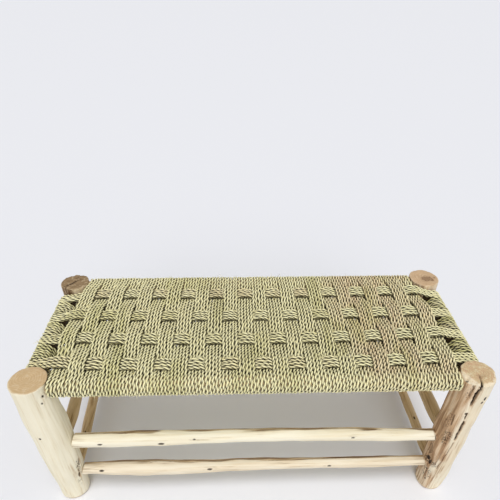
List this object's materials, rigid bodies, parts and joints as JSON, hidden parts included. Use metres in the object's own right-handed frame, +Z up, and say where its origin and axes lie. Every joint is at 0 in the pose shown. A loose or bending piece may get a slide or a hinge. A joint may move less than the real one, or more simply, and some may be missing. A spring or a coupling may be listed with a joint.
{
  "type": "wooden bench with woven rope seat",
  "caption": "Low rustic bench: log legs joined by round stretchers and rungs in mortises, with a seat of twisted natural rope woven over and under on round rails.",
  "frame": {"origin": "on the floor, under the middle of the bench's bounding box", "axes": "+X along the bench to the right as seen from the front, +Y from front to back, +Z up"},
  "size_m": [1.0058, 0.4226, 0.4196],
  "materials": {
    "leg_wood": "peeled log, dry and unvarnished",
    "pole_wood": "peeled pole, dry and unvarnished",
    "rail_wood": "peeled pole under rope",
    "rope": "twisted palm fibre, straw coloured"
  },
  "bodies": {
    "root": {"leg_front_left": "leg_wood", "leg_front_right": "leg_wood", "leg_back_left": "leg_wood", "leg_back_right": "leg_wood", "front_stretcher_upper": "pole_wood", "front_stretcher_lower": "pole_wood", "back_stretcher_upper": "pole_wood", "back_stretcher_lower": "pole_wood", "left_rung_upper": "pole_wood", "left_rung_lower": "pole_wood", "right_rung_upper": "pole_wood", "right_rung_lower": "pole_wood", "seat_rail_front": "rail_wood", "seat_rail_back": "rail_wood", "seat_rail_left": "rail_wood", "seat_rail_right": "rail_wood", "warp_band_01": "rope", "warp_band_02": "rope", "warp_band_03": "rope", "warp_band_04": "rope", "warp_band_05": "rope", "warp_band_06": "rope", "warp_band_07": "rope", "warp_band_08": "rope", "warp_band_09": "rope", "warp_band_10": "rope", "warp_band_11": "rope", "warp_band_12": "rope", "warp_band_13": "rope", "warp_band_14": "rope", "warp_band_15": "rope", "warp_band_16": "rope", "warp_band_17": "rope", "warp_band_18": "rope", "warp_band_19": "rope", "warp_band_20": "rope", "warp_band_21": "rope", "warp_band_22": "rope", "warp_band_23": "rope", "warp_band_24": "rope", "weft_band_1": "rope", "weft_band_2": "rope", "weft_band_3": "rope", "weft_band_4": "rope", "left_rail_wrap_1": "rope", "left_rail_wrap_2": "rope", "left_rail_wrap_3": "rope", "right_rail_wrap_1": "rope", "right_rail_wrap_2": "rope", "right_rail_wrap_3": "rope"}
  },
  "joints": []
}
